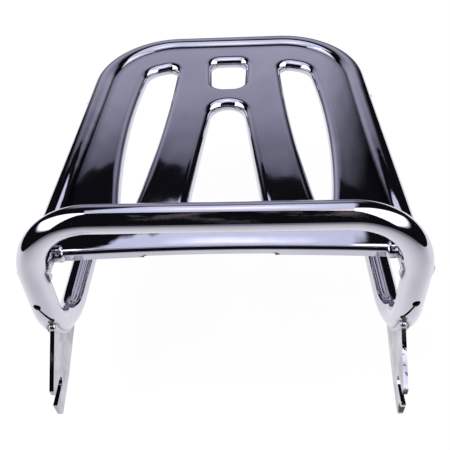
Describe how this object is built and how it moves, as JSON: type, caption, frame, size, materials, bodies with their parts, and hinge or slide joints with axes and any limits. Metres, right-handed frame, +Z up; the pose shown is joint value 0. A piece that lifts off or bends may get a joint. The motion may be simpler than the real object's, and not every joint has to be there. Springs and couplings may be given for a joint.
{
  "type": "motorcycle luggage rack",
  "caption": "Chrome-plated bent-tube luggage rack with a slotted sheet tray, a raised front hoop and forked brackets that slide onto side studs.",
  "frame": {"origin": "midway between the two mounting forks, on the axis of the studs they slide onto", "axes": "+X to the right as seen from the front along the stud axis, +Y to the rear along the rack's length, +Z up out of the tray"},
  "size_m": [0.2808, 0.3485, 0.1601],
  "materials": {
    "tube_chrome": "polished chrome plate on bent steel tube",
    "tray_chrome": "polished chrome plate on stamped steel sheet",
    "bracket_chrome": "chrome plate on flat steel bar, rusty at the cut edges",
    "weld_chrome": "chrome plate over rough weld beads, dull and rust-stained"
  },
  "bodies": {
    "root": {"front_hoop": "tube_chrome", "rail_loop": "tube_chrome", "tray_plate": "tray_chrome", "bracket_right": "bracket_chrome", "bracket_left": "bracket_chrome", "bracket_weld_right": "weld_chrome", "bracket_weld_left": "weld_chrome", "rail_weld_right": "weld_chrome", "rail_weld_left": "weld_chrome", "riser_weld_right": "weld_chrome", "riser_weld_left": "weld_chrome", "lip_weld_right": "weld_chrome", "lip_weld_left": "weld_chrome", "tray_stitch_right": "weld_chrome", "tray_stitch_left": "weld_chrome", "tray_stitch_rear": "weld_chrome"}
  },
  "joints": []
}
